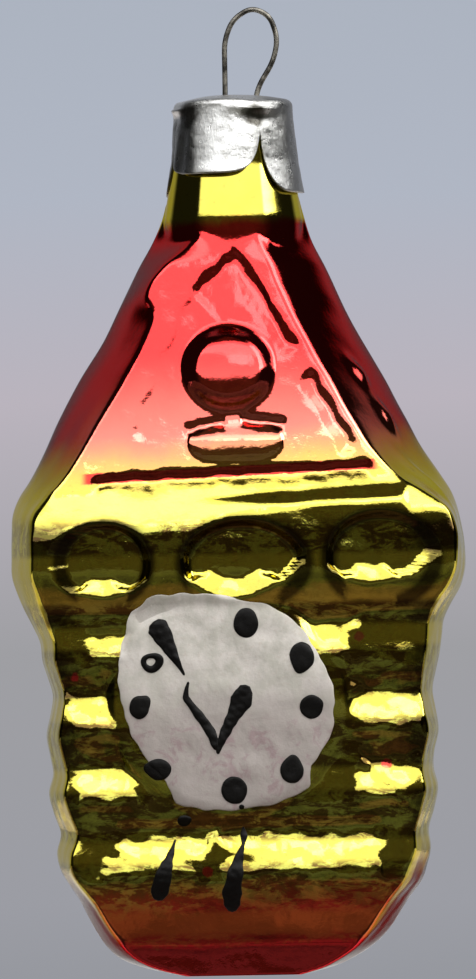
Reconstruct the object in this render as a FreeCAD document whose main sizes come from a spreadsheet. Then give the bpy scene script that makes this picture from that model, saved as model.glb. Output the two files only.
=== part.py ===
"""A blown glass tree ornament in the form of a gabled cuckoo clock.

The hollow glass body is blown in a mould of two halves, silvered inside and lacquered outside.
Black and white enamel is brushed on its front as the dial, the hour marks, the hands and the
weights. A pressed aluminium cap sits on the neck, and a bent steel wire passes through the cap:
its loop hangs on a twig or hook, and its two legs spring apart inside the neck.

The drawing frame has its origin at the centre of the neck's rim, +Z up and the clock face
towards -Y. The finished pieces are placed so that the origin is the point inside the top of the
wire loop where a hook bears. Lengths are millimetres.
"""
import FreeCAD, Part
import math
import os
from FreeCAD import Placement, Rotation, Vector

SIZES = {
    # Blown glass, which is the same thickness all over.
    "glass_wall": 0.7,
    "section_round": 2.2,
    # Round neck, a slim cone from the rim down to where the roof starts.
    "neck_height": 13.5,
    "neck_rim_radius": 6.9,
    "neck_foot_radius": 8.2,
    "neck_root": 9.0,
    # Roof, from the neck down to the foot of the gable, and the ledge under it.
    "roof_height": 34.0,
    "roof_head_half": 7.7,
    "roof_head_depth": 7.3,
    "roof_head_belly": 1.3,
    "roof_foot_half": 26.0,
    "roof_foot_depth": 15.8,
    "roof_foot_belly": 1.5,
    "gable_head_half": 1.2,
    "gable_head_shift": 1.2,
    "gable_foot_half": 18.7,
    "gable_foot_shift": -1.3,
    "ledge_height": 4.8,
    # Belt, the widest part of the house, which carries the three niches.
    "belt_top_half": 28.1,
    "belt_top_depth": 18.3,
    "belt_upper_height": 4.2,
    "belt_middle_half": 28.5,
    "belt_middle_depth": 18.8,
    "belt_lower_height": 4.3,
    "belt_low_half": 27.6,
    "belt_low_depth": 18.1,
    "cove_height": 4.6,
    "cove_half": 25.0,
    "cove_depth": 15.9,
    # Log courses.
    "log_pitch": 8.35,
    "log_top_half": 25.1,
    "log_low_half": 23.5,
    "log_depth": 16.6,
    "log_relief": 0.8,
    # Base, which draws in below the logs.
    "base_top_half": 21.5,
    "base_top_depth": 15.0,
    "base_face_height": 4.0,
    "base_face_half": 18.9,
    "base_face_depth": 13.6,
    "base_edge_height": 3.5,
    "base_edge_half": 16.3,
    "base_edge_depth": 11.2,
    "base_turn_height": 2.2,
    "base_turn_half": 13.3,
    "base_turn_depth": 7.8,
    "base_end_height": 0.75,
    "base_end_half": 10.5,
    "base_end_depth": 5.0,
    "side_belly": 0.3,
    "side_draft": 1.9,
    # Gable relief: a groove in the shape of a triangle, the round window and the perch bar.
    "groove_width": 1.1,
    "groove_depth": 0.4,
    "groove_apex_offset": 0.2,
    "groove_apex_drop": 19.6,
    "groove_foot_drop": 46.8,
    "groove_foot_left": 18.0,
    "groove_foot_right": 16.4,
    "window_radius": 6.0,
    "window_height": 2.4,
    "window_offset": -0.85,
    "window_drop": 34.0,
    "perch_radius": 2.6,
    "perch_length": 7.6,
    "perch_height": 1.6,
    "perch_drop": 43.8,
    # Niches in the belt.
    "niche_drop": 57.9,
    "niche_height": 11.6,
    "niche_depth": 2.2,
    "niche_left_offset": -16.6,
    "niche_left_width": 12.4,
    "niche_middle_offset": 0.4,
    "niche_middle_width": 15.6,
    "niche_right_offset": 17.0,
    "niche_right_width": 12.8,
    # Round field of the dial, moulded flat and a little proud of the logs.
    "dial_offset": -1.55,
    "dial_drop": 75.2,
    "dial_radius": 13.2,
    "field_margin": 0.8,
    "field_proud": 0.3,
    # Enamel.
    "enamel_thickness": 0.25,
    "mark_radius": 1.45,
    "mark_bare_radius": 0.45,
    "hand_thick_radius": 1.15,
    "hand_thin_radius": 0.5,
    "weight_thick_radius": 1.15,
    "weight_thin_radius": 0.55,
    "speck_radius": 0.6,
    # Pressed cap.
    "cap_metal": 0.3,
    "cap_clearance": 0.1,
    "cap_round": 0.9,
    "cap_crown": 2.2,
    "petal_width": 10.4,
    "petal_turn": -10.0,
    "petal_front_length": 10.6,
    "petal_right_length": 12.1,
    "petal_back_length": 11.4,
    "petal_left_length": 12.3,
    "wire_hole_radius": 0.95,
    # Wire hanger: its places are measured from the neck's axis and from the rim.
    "wire_radius": 0.33,
    "left_leg_offset": -0.74,
    "right_leg_offset": 3.0,
    "loop_right_offset": 5.95,
    "loop_top_offset": 2.75,
    "loop_top_rise": 11.35,
    "loop_left_rise": 7.2,
    "loop_right_rise": 7.4,
    "loop_neck_rise": 0.75,
    "leg_bend_drop": 3.6,
    "leg_tip_drop": 15.0,
    "leg_play": 0.3,
    # How far a cutting or brushing tool runs past what it works on.
    "tool_reach": 30.0,
}
LOG_COURSES = 4

# A station just under the top of the belt keeps the loft calm: shares of the way to the middle.
BELT_BROW_SHARES = (0.15, 0.25)
# Brushwork: places across and up from the middle of the dial, as shares of the dial's radius,
# and for a dab also its fullness, as a share of the mark's or the speck's radius.
HOUR_MARK_SHARES = [
    (0.17, 0.74, 1.08),
    (0.69, 0.41, 1.12),
    (0.77, -0.06, 1.0),
    (0.58, -0.65, 1.08),
    (0.03, -0.83, 1.12),
    (-0.66, -0.62, 0.95),
    (-0.84, -0.04, 0.95),
    (-0.72, 0.38, 1.0),
]
RINGED_MARK = 8
MINUTE_TIP_SHARES = [(-0.60, 0.69), (-0.39, 0.26)]
MINUTE_ROOT_SHARES = [(-0.35, 0.19), (-0.375, 0.04), (-0.17, -0.27), (-0.12, -0.46)]
HOUR_HAND_SHARES = [(0.14, 0.05), (-0.10, -0.46)]
LEFT_WEIGHT_SHARES = [(-0.69, -1.84), (-0.555, -1.30)]
RIGHT_WEIGHT_SHARES = [(-0.08, -1.95), (0.03, -1.63), (0.08, -1.20)]
SPECK_SHARES = [(-0.44, -1.11, 1.0), (0.10, -0.99, 0.5)]
# The uneven edge of the white disc at equal steps round from the right.
DIAL_EDGE_SHARES = [0.99, 0.975, 0.98, 0.97, 1.0, 1.05, 1.05, 1.02, 0.98, 0.94, 0.97, 1.0, 0.96, 1.02, 1.03]
# The round top of the loop: how far in from each side, and how far up, its corners stand.
LOOP_LEFT_SHARES = (0.31, 0.65)
LOOP_RIGHT_SHARES = (0.30, 0.73)
LOOP_WAIST_SHARES = (0.80, 0.62)
BEND_REACH_SHARE = 0.45

ACROSS = Vector(1, 0, 0)
AWAY = Vector(0, 1, 0)
UP = Vector(0, 0, 1)
SIDES = ("front", "right", "back", "left")

doc = FreeCAD.newDocument("cuckoo_clock_ornament")
sheet = doc.addObject("Spreadsheet::Sheet", "Sizes")
for row, (name, value) in enumerate(SIZES.items(), start=1):
    sheet.set(f"A{row}", name)
    sheet.set(f"B{row}", str(value))
    sheet.setAlias(f"B{row}", name)
doc.recompute()
pieces = []


def size(name):
    """The value of one named size in the sheet."""
    return float(sheet.get(name))


def bound(kind, name, place, turn, **expressions):
    """A primitive of the document whose sizes are expressions on the sheet."""
    item = doc.addObject(kind, name)
    for key, words in expressions.items():
        item.setExpression(key, words)
    item.Placement = Placement(place, turn)
    return item


def joined(name, items):
    """Several shapes of the document as one."""
    item = doc.addObject("Part::MultiFuse", name)
    item.Shapes = items
    return item


def twice(name, base, tool, kind):
    """A cut or a common of two objects of the document."""
    item = doc.addObject(kind, name)
    item.Base = base
    item.Tool = tool
    return item


def mirrored(item):
    """The twin of an object on the back of the glass, because both mould halves have the relief."""
    twin = doc.addObject("Part::Mirroring", f"{item.Name}_back")
    twin.Source = item
    twin.Normal = AWAY
    return twin


def shaped(name, shape):
    """A feature whose shape is worked out with plain geometry."""
    item = doc.addObject("Part::Feature", name)
    item.Shape = shape
    return item


# Places down the glass, each worked out from the one above it.
roof_head = -size("neck_height")
roof_foot = roof_head - size("roof_height")
belt_top = roof_foot - size("ledge_height")
belt_middle = belt_top - size("belt_upper_height")
belt_low = belt_middle - size("belt_lower_height")
cove = belt_low - size("cove_height")
base_top = cove - LOG_COURSES * size("log_pitch")
base_face = base_top - size("base_face_height")
base_edge = base_face - size("base_edge_height")
base_turn = base_edge - size("base_turn_height")
base_end = base_turn - size("base_end_height")


def grown(corners, growth):
    """A closed polygon with every side moved outwards by the same distance."""
    lines = []
    for a, b in zip(corners, corners[1:] + corners[:1]):
        along = (b - a).normalize()
        lines.append((a + along.cross(UP) * growth, along))
    moved = []
    for (p, d), (q, e) in zip(lines[-1:] + lines[:-1], lines):
        gap = q - p
        moved.append(p + d * ((gap.x * e.y - gap.y * e.x) / (d.x * e.y - d.y * e.x)))
    return moved


def rounded(before, corner, after, radius):
    """The start, middle and end of the arc that rounds one corner."""
    u = (before - corner).normalize()
    w = (after - corner).normalize()
    half = u.getAngle(w) / 2
    reach = radius / math.tan(half)
    inward = (u + w).normalize()
    return corner + u * reach, corner + inward * (radius / math.sin(half) - radius), corner + w * reach


def section(level, half, depth, front, shift, belly, growth):
    """One closed outline across the house: seam corners, bellied sides, rounded front and back."""
    ring = []
    for x_sign, y_sign in ((-1, -1), (1, -1), (1, 1), (-1, 1)):
        shoulder = Vector(x_sign * ((front + half) / 2 + belly) + shift / 2, y_sign * (depth / 2 + belly), 0)
        corner = Vector(x_sign * front + shift, y_sign * depth, 0)
        if x_sign * y_sign > 0:
            ring += [Vector(x_sign * half, 0, 0), shoulder, corner]
        else:
            ring += [corner, shoulder]
    ring = [point + UP * level for point in grown(ring, growth)]
    radius = min(size("section_round"), front) + growth
    edges = []
    start = ring[0]
    for k, point in enumerate(ring[1:], start=1):
        if k in (2, 3, 7, 8):
            a, middle, b = rounded(ring[k - 1], point, ring[k + 1], radius)
            edges += [Part.makeLine(start, a), Part.Arc(a, middle, b).toShape()]
            start = b
        else:
            edges.append(Part.makeLine(start, point))
            start = point
    edges.append(Part.makeLine(start, ring[0]))
    return Part.Wire(edges)


def house_section(level, half, depth, growth):
    """A section of the house, whose front is a little narrower than its seam so that it left the mould."""
    front = half - size("side_draft") * depth / size("log_depth")
    return section(level, half, depth, front, 0, size("side_belly"), growth)


def roof_form(growth):
    """The roof with its gable face leaning back, and the ledge below it."""
    head = section(roof_head, size("roof_head_half"), size("roof_head_depth"), size("gable_head_half"),
                   size("gable_head_shift"), size("roof_head_belly"), growth)
    foot = section(roof_foot, size("roof_foot_half"), size("roof_foot_depth"), size("gable_foot_half"),
                   size("gable_foot_shift"), size("roof_foot_belly"), growth)
    belt = house_section(belt_top, size("belt_top_half"), size("belt_top_depth"), growth)
    return Part.makeLoft([head, foot, belt], True, True)


def log_stations():
    """Height, half width and depth of each log's crest and of the valleys between the logs."""
    stations = []
    last = 2 * LOG_COURSES - 2
    for k in range(last + 1):
        half = size("log_top_half") + (size("log_low_half") - size("log_top_half")) * k / last
        drop = size("log_relief") * (k % 2)
        stations.append((cove - size("log_pitch") * (k + 1) / 2, half - drop, size("log_depth") - drop))
    return stations


def house_form(growth):
    """The house from the belt down to the underside, as one smooth skin."""
    down, out = BELT_BROW_SHARES
    top_half, top_depth = size("belt_top_half"), size("belt_top_depth")
    middle_half, middle_depth = size("belt_middle_half"), size("belt_middle_depth")
    brow = (belt_top + (belt_middle - belt_top) * down, top_half + (middle_half - top_half) * out,
            top_depth + (middle_depth - top_depth) * out)
    stations = [
        (belt_top, top_half, top_depth),
        brow,
        (belt_middle, middle_half, middle_depth),
        (belt_low, size("belt_low_half"), size("belt_low_depth")),
        (cove, size("cove_half"), size("cove_depth")),
        *log_stations(),
        (base_top, size("base_top_half"), size("base_top_depth")),
        (base_face, size("base_face_half"), size("base_face_depth")),
        (base_edge, size("base_edge_half"), size("base_edge_depth")),
        (base_turn - growth / 2, size("base_turn_half"), size("base_turn_depth")),
        (base_end - growth, size("base_end_half"), size("base_end_depth")),
    ]
    return Part.makeLoft([house_section(z, half, depth, growth) for z, half, depth in stations], True, False)


NECK_TAPER = "(Sizes.neck_foot_radius - Sizes.neck_rim_radius) / Sizes.neck_height"
LONGEST_PETAL = "max(" + "; ".join(f"Sizes.petal_{side}_length" for side in SIDES) + ")"


def neck_cone(name, growth):
    """The neck's cone, run down into the roof, grown by an expression."""
    return bound("Part::Cone", name, Vector(0, 0, -size("neck_height") - size("neck_root")), Rotation(),
                 Radius1=f"Sizes.neck_foot_radius + Sizes.neck_root * {NECK_TAPER} + {growth}",
                 Radius2=f"Sizes.neck_rim_radius + {growth}",
                 Height="Sizes.neck_height + Sizes.neck_root")


def top_rounded(name, base, radius):
    """An object with the edge round its highest face rounded."""
    item = doc.addObject("Part::Fillet", name)
    item.Base = base
    doc.recompute()
    top = base.Shape.BoundBox.ZMax
    for number, edge in enumerate(base.Shape.Edges, start=1):
        box = edge.BoundBox
        if box.ZLength < radius and box.ZMax > top - radius and box.XLength > radius:
            item.Edges = [(number, radius, radius)]
    return item


# The gable face leans back: how much of depth it gains per length down, and its angle.
gable_gain = (size("roof_foot_depth") - size("roof_head_depth")) / size("roof_height")
gable_lean = math.atan(gable_gain)


def gable_point(across, drop, proud):
    """A point on the front gable face, moved outwards along the face's normal."""
    depth = size("roof_head_depth") + gable_gain * (drop - size("neck_height"))
    normal = Vector(0, -math.cos(gable_lean), math.sin(gable_lean))
    return Vector(across, -depth, -drop) + normal * proud


def front_relief(name, growth):
    """The raised relief of the front: the window's ball, the perch bar and the dial's round field."""
    grow = f"{growth} * Sizes.glass_wall"
    window, height = size("window_radius"), size("window_height")
    ball_centre = gable_point(size("window_offset"), size("window_drop"), (height - window ** 2 / height) / 2)
    ball = bound("Part::Sphere", f"{name}_window", ball_centre, Rotation(),
                 Radius=f"(Sizes.window_radius ^ 2 / Sizes.window_height + Sizes.window_height) / 2 + {grow}")
    sunk = size("perch_height") - size("perch_radius")
    ends = [gable_point(side * size("perch_length") / 2, size("perch_drop"), sunk) for side in (-1, 1)]
    radius = f"Sizes.perch_radius + {grow}"
    bar = bound("Part::Cylinder", f"{name}_perch", ends[0], Rotation(UP, ACROSS), Radius=radius,
                Height="Sizes.perch_length")
    knobs = [bound("Part::Sphere", f"{name}_perch_end", end, Rotation(), Radius=radius) for end in ends]
    return [ball, bar, *knobs, dial_field(f"{name}_field", grow)]


def dial_field(name, grow):
    """The flat round field that the dial is brushed on, grown by an expression."""
    return bound("Part::Cylinder", name, Vector(size("dial_offset"), 0, -size("dial_drop")),
                 Rotation(UP, -AWAY), Radius=f"Sizes.dial_radius + Sizes.field_margin + {grow}",
                 Height=f"Sizes.log_depth + Sizes.field_proud + {grow}")


def niche_balls(name, grow):
    """The three hollows pressed into the belt, as flattened balls grown by an expression."""
    balls = []
    for side in ("left", "middle", "right"):
        place = Vector(size(f"niche_{side}_offset"), -size("belt_middle_depth"), -size("niche_drop"))
        balls.append(bound("Part::Ellipsoid", f"{name}_{side}", place, Rotation(),
                           Radius1=f"Sizes.niche_height / 2 + {grow}",
                           Radius2=f"Sizes.niche_{side}_width / 2 + {grow}",
                           Radius3=f"Sizes.niche_depth + {grow}"))
    return balls


def groove_frame(growth):
    """The triangular groove of the gable: a frame of even width, sunk to one depth in the leaning face."""
    corners = [Vector(-size("groove_foot_left"), -size("groove_foot_drop"), 0),
               Vector(size("groove_foot_right"), -size("groove_foot_drop"), 0),
               Vector(size("groove_apex_offset"), -size("groove_apex_drop"), 0)]
    rings = [grown(corners, growth), grown(corners, -size("groove_width") - growth)]
    faces = [Part.Face(Part.makePolygon(ring + ring[:1])) for ring in rings]
    reach = size("tool_reach")
    frame = faces[0].cut(faces[1]).extrude(UP * reach)
    frame.rotate(Vector(), ACROSS, 90)
    slab = Part.makeBox(2 * reach, reach, 2 * reach, Vector(-reach, -reach, -reach))
    floor = gable_point(0, size("groove_foot_drop"), -size("groove_depth") - growth)
    slab.Placement = Placement(floor, Rotation(ACROSS, -math.degrees(gable_lean)))
    return frame.common(slab)


def glass_body():
    """The blown body: the whole outside less the whole inside, which lies one wall in."""
    solids = {}
    for name, growth in (("outside", 0), ("inside", -1)):
        relief = front_relief(name, growth)
        neck = neck_cone(f"{name}_neck", f"{growth} * Sizes.glass_wall")
        if growth:
            bore = bound("Part::Cylinder", "inside_bore", Vector(), Rotation(), Height="Sizes.tool_reach",
                         Radius="Sizes.neck_rim_radius - Sizes.glass_wall")
            relief.append(bore)
        else:
            neck = top_rounded("outside_neck_lip", neck, size("cap_round") - size("cap_metal"))
        offset = growth * size("glass_wall")
        roof = shaped(f"{name}_roof", roof_form(offset))
        house = shaped(f"{name}_house", house_form(offset))
        raised = joined(f"{name}_raised", [neck, roof, house, *relief, *[mirrored(item) for item in relief]])
        hollows = niche_balls(f"{name}_niche", f"{-growth} * Sizes.glass_wall")
        hollows.append(shaped(f"{name}_groove", groove_frame(-offset)))
        sunk = joined(f"{name}_sunk", [*hollows, *[mirrored(item) for item in hollows]])
        solids[name] = twice(f"{name}_form", raised, sunk, "Part::Cut")
    return twice("glass_body", solids["outside"], solids["inside"], "Part::Cut")


def cap_bell(name, growth, top, turn):
    """One skin of the cap's bell, a named distance outside the neck, with a rounded top edge."""
    longest = max(size(f"petal_{side}_length") for side in SIDES)
    cone = bound("Part::Cone", name, Vector(0, 0, -longest), Rotation(), Height=f"{LONGEST_PETAL} + {top}",
                 Radius1=f"Sizes.neck_rim_radius + {LONGEST_PETAL} * {NECK_TAPER} + {growth}",
                 Radius2=f"Sizes.neck_rim_radius + {growth}")
    return top_rounded(f"{name}_rounded", cone, turn)


def cap():
    """The pressed cap: a crown with two wire holes, and four petals with round ends."""
    turn = size("cap_round")
    outer = cap_bell("bell_outside", "Sizes.cap_clearance + Sizes.cap_metal", "Sizes.cap_metal", turn)
    inner = cap_bell("bell_inside", "Sizes.cap_clearance", "0", turn - size("cap_metal"))
    bell = twice("bell", outer, inner, "Part::Cut")
    crown_foot = Vector(0, 0, -size("cap_crown"))
    reach = "Sizes.tool_reach"
    kept = [bound("Part::Cylinder", "crown", crown_foot, Rotation(), Radius=reach, Height=reach)]
    half = size("petal_width") / 2
    for quarter, side in enumerate(SIDES):
        facing = Rotation(UP, size("petal_turn") + 90 * quarter)
        low = Vector(0, 0, half - size(f"petal_{side}_length"))
        corner = facing.multVec(Vector(-half, -size("tool_reach"), low.z))
        kept.append(bound("Part::Box", f"petal_{side}", corner, facing, Width=reach,
                          Length="Sizes.petal_width",
                          Height=f"Sizes.petal_{side}_length - Sizes.petal_width / 2"))
        kept.append(bound("Part::Cylinder", f"petal_{side}_end", low, facing * Rotation(UP, -AWAY),
                          Radius="Sizes.petal_width / 2", Height=reach))
    petals = twice("petals", bell, joined("petal_outlines", kept), "Part::Common")
    holes = [bound("Part::Cylinder", f"{side}_wire_hole", crown_foot + ACROSS * size(f"{side}_leg_offset"),
                   Rotation(), Radius="Sizes.wire_hole_radius", Height=reach) for side in ("left", "right")]
    return twice("cap", petals, joined("wire_holes", holes), "Part::Cut")


def bent_path(corners):
    """Straight runs joined by tangent arcs, as round as the shorter run at each corner allows."""
    edges = []
    start = corners[0]
    for before, corner, after in zip(corners, corners[1:], corners[2:]):
        shorter = min((corner - before).Length, (after - corner).Length)
        half_turn = (corner - before).getAngle(after - corner) / 2
        a, middle, b = rounded(before, corner, after, BEND_REACH_SHARE * shorter / math.tan(half_turn))
        edges += [Part.makeLine(start, a), Part.Arc(a, middle, b).toShape()]
        start = b
    edges.append(Part.makeLine(start, corners[-1]))
    return Part.Wire(edges)


def hanger_corners():
    """The corners of the bent wire, from one leg's tip round the loop to the other's."""
    left, right = size("left_leg_offset"), size("right_leg_offset")
    middle, far = size("loop_top_offset"), size("loop_right_offset")
    top, left_rise, right_rise = size("loop_top_rise"), size("loop_left_rise"), size("loop_right_rise")
    reach = size("neck_rim_radius") - size("glass_wall") - size("leg_play") - size("wire_radius")
    left_in, left_up = LOOP_LEFT_SHARES
    right_in, right_up = LOOP_RIGHT_SHARES
    waist_out, waist_up = LOOP_WAIST_SHARES
    places = [
        (-reach, -size("leg_tip_drop")),
        (left, -size("leg_bend_drop")),
        (left, left_rise),
        (left + (middle - left) * left_in, left_rise + (top - left_rise) * left_up),
        (middle, top),
        (far - (far - middle) * right_in, right_rise + (top - right_rise) * right_up),
        (far, right_rise),
        (right + (far - right) * waist_out, right_rise * waist_up),
        (right, size("loop_neck_rise")),
        (right, -size("leg_bend_drop")),
        (reach, -size("leg_tip_drop")),
    ]
    return [Vector(across, 0, up) for across, up in places]


def hanger(path):
    """A round wire swept along the bent path."""
    first, second = path.Edges[0].firstVertex().Point, path.Edges[0].lastVertex().Point
    ring = doc.addObject("Part::Circle", "wire_section")
    ring.setExpression("Radius", "Sizes.wire_radius")
    ring.Placement = Placement(first, Rotation(UP, second - first))
    wire = doc.addObject("Part::Sweep", "hanger")
    wire.Sections = [ring]
    line = shaped("wire_path", path)
    wire.Spine = (line, [f"Edge{k + 1}" for k in range(len(path.Edges))])
    wire.Solid = True
    wire.Frenet = True
    return wire


def coat(name, inside, outside):
    """The layer on the lower front between two growths of the glass, which a coat of enamel fills."""
    grown_forms = []
    for growth in (inside, outside):
        house = shaped(f"{name}_house", house_form(growth * size("enamel_thickness")))
        field = dial_field(f"{name}_field", f"{growth} * Sizes.enamel_thickness")
        grown_forms.append(joined(f"{name}_form", [house, field]))
    return twice(name, grown_forms[1], grown_forms[0], "Part::Cut")


def dial_place(across_share, up_share):
    """A point on the ornament's middle plane behind the dial, from shares of the dial's radius."""
    radius = size("dial_radius")
    return Vector(size("dial_offset") + across_share * radius, 0, -size("dial_drop") + up_share * radius)


def brush_prism(outline):
    """A brush outline on the middle plane, driven straight forward through the front of the glass."""
    return Part.Face(outline).extrude(-AWAY * size("tool_reach"))


def dial_outline():
    """The uneven edge of the brushed white disc."""
    step = 2 * math.pi / len(DIAL_EDGE_SHARES)
    points = [dial_place(share * math.cos(k * step), share * math.sin(k * step))
              for k, share in enumerate(DIAL_EDGE_SHARES)]
    curve = Part.BSplineCurve()
    curve.interpolate(Points=points, PeriodicFlag=True)
    return Part.Wire(curve.toShape())


def stroke_outline(first, second, wide, narrow):
    """One touch of the brush: two round ends joined by tangent lines."""
    along = (second - first).normalize()
    square = along.cross(AWAY)
    lean = math.asin((wide - narrow) / (second - first).Length)
    ends = []
    for sign in (1, -1):
        out = square * (sign * math.cos(lean)) + along * math.sin(lean)
        ends.append((first + out * wide, second + out * narrow))
    (a, b), (c, d) = ends
    return Part.Wire([Part.makeLine(a, b), Part.Arc(b, second + along * narrow, d).toShape(),
                      Part.makeLine(d, c), Part.Arc(c, first - along * wide, a).toShape()])


def stroke(name, shares, thick, thin):
    """A brush stroke from a thick start to a thin end through some places on the dial."""
    places = [dial_place(*share) for share in shares]
    touches = len(places) - 1
    widths = [thick + (thin - thick) * k / touches for k in range(touches + 1)]
    prisms = []
    for k in range(touches):
        outline = stroke_outline(places[k], places[k + 1], widths[k], widths[k + 1])
        prisms.append(shaped(f"{name}_touch_{k + 1}", brush_prism(outline)))
    return joined(f"{name}_brush", prisms) if touches > 1 else prisms[0]


def dab(name, share, alias):
    """A round dab of the brush: its place, and its radius as a share of the named one."""
    across, up, fullness = share
    return bound("Part::Cylinder", f"{name}_dab", dial_place(across, up), Rotation(UP, -AWAY),
                 Radius=f"Sizes.{alias} * {fullness}", Height="Sizes.tool_reach")


def finished(label, item):
    """Name one piece, and put it in the ornament's own frame."""
    item.Label = label
    item.Placement = hanging
    pieces.append(item)


# The point inside the top of the loop where the hook bears is the origin of the finished ornament.
hanger_path = bent_path(hanger_corners())
hook_rise = hanger_path.BoundBox.ZMax - size("wire_radius")
hanging = Placement(Vector(-size("loop_top_offset"), 0, -hook_rise), Rotation())

finished("glass_body", glass_body())
finished("cap", cap())
finished("hanger", hanger(hanger_path))

# White enamel is one layer thick. The black reaches up to two layers, and lies on the white where
# there is white.
white_coat = coat("white_coat", 0, 1)
dial_edge = shaped("dial_edge", brush_prism(dial_outline()))
white_disc = twice("white_disc", white_coat, dial_edge, "Part::Common")
black_coat = twice("black_coat", coat("full_coat", 0, 2), white_disc, "Part::Cut")
finished("dial_enamel", twice("dial_enamel", white_coat, dial_edge, "Part::Common"))


def brushed(label, tool):
    """A piece of black enamel: it lies on the white disc, and elsewhere on the glass."""
    finished(label, twice(label, black_coat, tool, "Part::Common"))


for number, share in enumerate(HOUR_MARK_SHARES, start=1):
    label = f"hour_mark_{number}"
    tool = dab(label, share, "mark_radius")
    if number == RINGED_MARK:
        tool = twice(f"{label}_ring", tool, dab(f"{label}_bare", share, "mark_bare_radius"), "Part::Cut")
    brushed(label, tool)

thick, thin = size("hand_thick_radius"), size("hand_thin_radius")
hour_brush = stroke("hour_hand", HOUR_HAND_SHARES, thick, thin)
root_brush = stroke("minute_hand_root", MINUTE_ROOT_SHARES, thin, thin)
brushed("hour_hand", hour_brush)
brushed("minute_hand_root", twice("minute_hand_root_end", root_brush, hour_brush, "Part::Cut"))
brushed("minute_hand_tip", stroke("minute_hand_tip", MINUTE_TIP_SHARES, thick, thin))
thick, thin = size("weight_thick_radius"), size("weight_thin_radius")
brushed("left_weight", stroke("left_weight", LEFT_WEIGHT_SHARES, thick, thin))
brushed("right_weight", stroke("right_weight", RIGHT_WEIGHT_SHARES, thick, thin))
for number, share in enumerate(SPECK_SHARES, start=1):
    label = f"enamel_speck_{number}"
    brushed(label, dab(label, share, "speck_radius"))

doc.recompute()
for item in doc.Objects:
    if "Invalid" in item.State or "Error" in item.State:
        raise RuntimeError(f"{item.Name} failed to compute")
for piece in pieces:
    if piece.Shape.isNull() or not piece.Shape.isValid() or not piece.Shape.Solids:
        raise RuntimeError(f"{piece.Label} is not a sound solid")
    print(piece.Label, len(piece.Shape.Solids), round(piece.Shape.Volume, 2))
os.makedirs("parts", exist_ok=True)
for piece in pieces:
    piece.Shape.exportStep(f"parts/{piece.Label}.step")
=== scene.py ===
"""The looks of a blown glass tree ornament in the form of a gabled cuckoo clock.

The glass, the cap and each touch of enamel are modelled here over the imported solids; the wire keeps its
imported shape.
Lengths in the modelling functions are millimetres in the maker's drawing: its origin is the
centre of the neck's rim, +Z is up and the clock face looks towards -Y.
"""

import math
from collections import namedtuple

import bmesh
import bpy
import numpy as np
from mathutils import Matrix, Vector


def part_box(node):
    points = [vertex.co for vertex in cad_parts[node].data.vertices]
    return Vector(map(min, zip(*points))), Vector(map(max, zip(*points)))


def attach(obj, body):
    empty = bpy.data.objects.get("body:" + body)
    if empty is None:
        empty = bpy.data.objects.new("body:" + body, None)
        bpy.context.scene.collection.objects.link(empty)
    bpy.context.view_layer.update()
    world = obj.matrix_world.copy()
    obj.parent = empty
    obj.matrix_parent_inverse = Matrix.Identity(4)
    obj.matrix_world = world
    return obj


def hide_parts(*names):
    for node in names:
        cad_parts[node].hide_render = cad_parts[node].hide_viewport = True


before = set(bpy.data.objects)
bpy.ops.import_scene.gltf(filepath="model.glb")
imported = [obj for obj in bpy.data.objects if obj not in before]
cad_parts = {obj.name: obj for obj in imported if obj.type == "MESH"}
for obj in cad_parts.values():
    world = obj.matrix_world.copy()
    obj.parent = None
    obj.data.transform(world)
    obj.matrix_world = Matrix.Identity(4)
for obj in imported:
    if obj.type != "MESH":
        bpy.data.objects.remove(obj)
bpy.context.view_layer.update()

HOOK = np.array([2.75, 0.0, -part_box("glass_body")[1].z * 1000])
FRONT, BACK = -1, 1
LEFT, RIGHT = 1, 2


# ---------------------------------------------------------------- small tools for shapes

def placed(points):
    """Drawing millimetres to the ornament's own frame in metres."""
    return (np.asarray(points, float) - HOOK) / 1000


def eased(low, high, x):
    """0 below low, 1 above high, and a smooth rise between."""
    t = np.clip((x - low) / (high - low), 0, 1)
    return t * t * (3 - 2 * t)


def bump(x, centre, width):
    """A soft hill of height 1."""
    return np.exp(-((x - centre) / width) ** 2)


def softer_min(a, b, ease):
    """The smaller of two, with the corner between them rounded."""
    low = np.minimum(a, b)
    return low - ease * np.log(np.exp(-(a - low) / ease) + np.exp(-(b - low) / ease))


def softer_max(a, b, ease):
    """The larger of two, with the corner between them rounded."""
    return -softer_min(-a, -b, ease)


def curve(at, stations, column):
    """A smooth curve down the glass through one column of a table whose first column is height."""
    table = np.array(stations, float)
    level, value = table[::-1, 0], table[::-1, column]
    slope = np.gradient(value, level)
    at = np.clip(at, level[0], level[-1])
    k = np.clip(np.searchsorted(level, at) - 1, 0, len(level) - 2)
    run = level[k + 1] - level[k]
    t = (at - level[k]) / run
    return ((2 * t ** 3 - 3 * t ** 2 + 1) * value[k] + (t ** 3 - 2 * t ** 2 + t) * run * slope[k]
            + (3 * t ** 2 - 2 * t ** 3) * value[k + 1] + (t ** 3 - t ** 2) * run * slope[k + 1])


def off_line(x, z, start, end):
    """Distance from a straight stroke, signed by side, and how far along it, from 0 to 1."""
    along = np.array(end, float) - np.array(start, float)
    length = np.hypot(*along)
    along /= length
    u, w = x - start[0], z - start[1]
    return u * along[1] - w * along[0], (u * along[0] + w * along[1]) / length


def swell(x, z, seed, wave, waves=7):
    """A calm random surface between about -1 and 1, the same every time."""
    rng = np.random.default_rng(seed)
    total = 0
    for _ in range(waves):
        turn = rng.uniform(0, math.pi)
        stretch = 2 * math.pi / (wave * rng.uniform(0.7, 1.6))
        total = total + np.sin(stretch * (x * math.cos(turn) + z * math.sin(turn)) + rng.uniform(0, 6.28))
    return total / math.sqrt(waves)


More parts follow.
